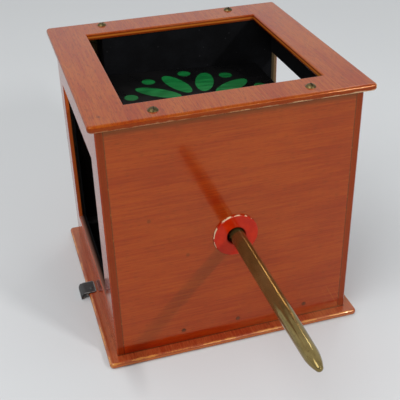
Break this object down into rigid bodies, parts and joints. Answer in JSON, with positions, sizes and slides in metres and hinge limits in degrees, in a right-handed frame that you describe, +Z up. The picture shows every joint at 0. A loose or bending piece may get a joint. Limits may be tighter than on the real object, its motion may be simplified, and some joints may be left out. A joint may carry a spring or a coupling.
{
  "type": "stage cabinet with impaled block",
  "caption": "Open-topped varnished plywood cabinet with side windows, a pointed brass rod through red bushes, and a black block that swings on the rod.",
  "frame": {"origin": "middle of the underside of the base, below the middle of the walls", "axes": "+X to the right, +Y to the back, +Z up; the rod's point is towards -Y"},
  "size_m": [0.1946, 0.308, 0.1897],
  "materials": {
    "varnished_ply": "glossy red-brown varnish on plywood",
    "black_stain": "black stain on softwood",
    "black_board": "matte black flock on a wooden board",
    "black_lining": "matte black flock",
    "black_gloss_paint": "gloss black paint",
    "red_enamel": "gloss red enamel on turned wood",
    "aged_brass": "polished brass gone olive with age",
    "dull_brass": "dull brass",
    "dark_steel": "dark oxidised steel",
    "black_japan": "black japan lacquer on steel sheet"
  },
  "bodies": {
    "casing": {"base_board": "varnished_ply", "top_frame": "varnished_ply", "front_panel": "varnished_ply", "back_panel": "varnished_ply", "left_window_panel": "varnished_ply", "right_window_panel": "varnished_ply", "front_batten": "black_stain", "back_batten": "black_stain", "front_lining": "black_lining", "back_lining": "black_board", "left_lining": "black_lining", "right_lining": "black_lining", "floor_lining": "black_lining", "top_screws": "dull_brass", "panel_pins": "dark_steel", "front_bush": "red_enamel", "back_bush": "red_enamel", "edge_hook": "black_japan", "edge_hook_pin": "black_japan"},
    "rod": {"rod": "aged_brass"},
    "block": {"block_top": "black_gloss_paint", "block_bottom": "black_gloss_paint", "block_left": "black_gloss_paint", "block_right": "black_gloss_paint", "block_front": "black_gloss_paint", "block_back": "black_gloss_paint", "block_sleeve": "dull_brass"}
  },
  "joints": [
    {"name": "rod_slide", "type": "slide", "parent": "casing", "child": "rod", "axis": [0, -1, 0], "range_m": [-0.13, 0.18]},
    {"name": "block_swing", "type": "hinge", "parent": "casing", "child": "block", "pos_m": [0.00118, 0, 0.08832], "axis": [0, 1, 0], "range_deg": [-19, 13]}
  ]
}
